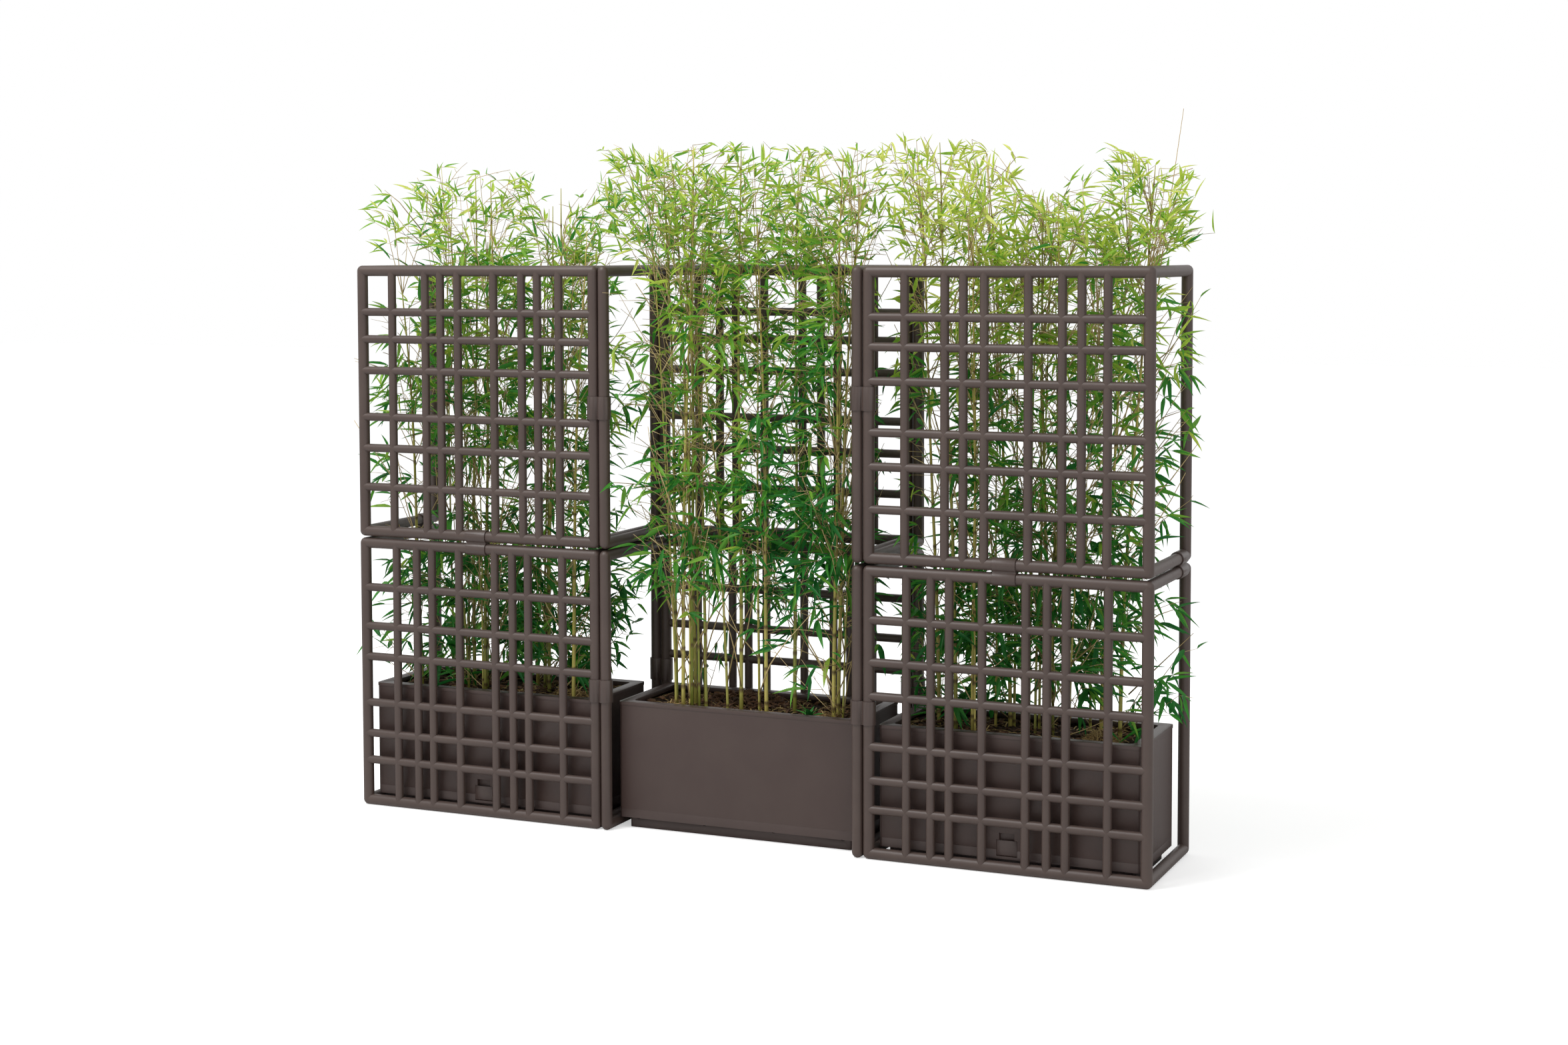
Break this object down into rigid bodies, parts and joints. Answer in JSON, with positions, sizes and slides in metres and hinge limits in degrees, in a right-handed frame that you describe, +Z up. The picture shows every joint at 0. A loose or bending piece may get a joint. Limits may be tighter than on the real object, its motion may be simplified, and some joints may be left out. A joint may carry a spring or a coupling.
{
  "type": "modular trellis wall planter",
  "caption": "Free-standing trellis wall of clipped tube modules with planter boxes in its lower row, filled with soil and bamboo.",
  "frame": {"origin": "on the floor under the middle of the wall", "axes": "+X along the wall, +Y to its back, +Z up"},
  "size_m": [2.622, 0.5218, 2.174],
  "materials": {
    "frame_plastic": "fine-grained coffee brown",
    "clip_plastic": "satin coffee brown",
    "spigot_plastic": "matt",
    "planter_plastic": "fine-grained coffee brown",
    "tray_plastic": "fine-grained coffee brown",
    "catch_plastic": "satin dark brown",
    "pin_steel": "drawn",
    "inner_plastic": "matt dark grey",
    "soil": "loose potting soil with bark and straw",
    "bamboo_stem": "smooth green and yellow culm",
    "bamboo_leaf": "satin leaf"
  },
  "bodies": {
    "frame": {"column_clips_back": "clip_plastic", "column_clips_front": "clip_plastic", "depth_tubes_lower_left": "frame_plastic", "depth_tubes_lower_middle": "frame_plastic", "depth_tubes_lower_right": "frame_plastic", "depth_tubes_upper_left": "frame_plastic", "depth_tubes_upper_middle": "frame_plastic", "depth_tubes_upper_right": "frame_plastic", "end_clips": "clip_plastic", "lattice_lower_left": "frame_plastic", "lattice_lower_middle": "frame_plastic", "lattice_lower_right": "frame_plastic", "lattice_upper_left": "frame_plastic", "lattice_upper_middle": "frame_plastic", "lattice_upper_right": "frame_plastic", "row_clips": "clip_plastic", "side_bow_lower_left_left": "frame_plastic", "side_bow_lower_left_right": "frame_plastic", "side_bow_lower_middle_left": "frame_plastic", "side_bow_lower_middle_right": "frame_plastic", "side_bow_lower_right_left": "frame_plastic", "side_bow_lower_right_right": "frame_plastic", "side_bow_upper_left_left": "frame_plastic", "side_bow_upper_left_right": "frame_plastic", "side_bow_upper_middle_left": "frame_plastic", "side_bow_upper_middle_right": "frame_plastic", "side_bow_upper_right_left": "frame_plastic", "side_bow_upper_right_right": "frame_plastic", "tube_spigots": "spigot_plastic"},
    "planter_left": {"planter_box_left": "planter_plastic", "base_tray_left": "tray_plastic", "catch_pin_left": "pin_steel", "false_bottom_left": "inner_plastic", "overflow_tube_left": "inner_plastic", "soil_left": "soil", "bamboo_stems_left": "bamboo_stem", "bamboo_leaves_left": "bamboo_leaf"},
    "catch_left": {"catch_left": "catch_plastic"},
    "planter_middle": {"planter_box_middle": "planter_plastic", "base_tray_middle": "tray_plastic", "catch_pin_middle": "pin_steel", "false_bottom_middle": "inner_plastic", "overflow_tube_middle": "inner_plastic", "soil_middle": "soil", "bamboo_stems_middle": "bamboo_stem", "bamboo_leaves_middle": "bamboo_leaf"},
    "catch_middle": {"catch_middle": "catch_plastic"},
    "planter_right": {"planter_box_right": "planter_plastic", "base_tray_right": "tray_plastic", "catch_pin_right": "pin_steel", "false_bottom_right": "inner_plastic", "overflow_tube_right": "inner_plastic", "soil_right": "soil", "bamboo_stems_right": "bamboo_stem", "bamboo_leaves_right": "bamboo_leaf"},
    "catch_right": {"catch_right": "catch_plastic"}
  },
  "joints": [
    {"name": "planter_slide_left", "type": "slide", "parent": "frame", "child": "planter_left", "axis": [0, 1, 0], "range_m": [0, 0.45]},
    {"name": "catch_hinge_left", "type": "hinge", "parent": "planter_left", "child": "catch_left", "pos_m": [-0.872, -0.182, 0.0485], "axis": [1, 0, 0], "range_deg": [0, 45]},
    {"name": "planter_slide_middle", "type": "slide", "parent": "frame", "child": "planter_middle", "axis": [0, -1, 0], "range_m": [0, 0.45]},
    {"name": "catch_hinge_middle", "type": "hinge", "parent": "planter_middle", "child": "catch_middle", "pos_m": [0, 0.182, 0.0485], "axis": [-1, 0, 0], "range_deg": [0, 45]},
    {"name": "planter_slide_right", "type": "slide", "parent": "frame", "child": "planter_right", "axis": [0, 1, 0], "range_m": [0, 0.45]},
    {"name": "catch_hinge_right", "type": "hinge", "parent": "planter_right", "child": "catch_right", "pos_m": [0.872, -0.182, 0.0485], "axis": [1, 0, 0], "range_deg": [0, 45]}
  ]
}
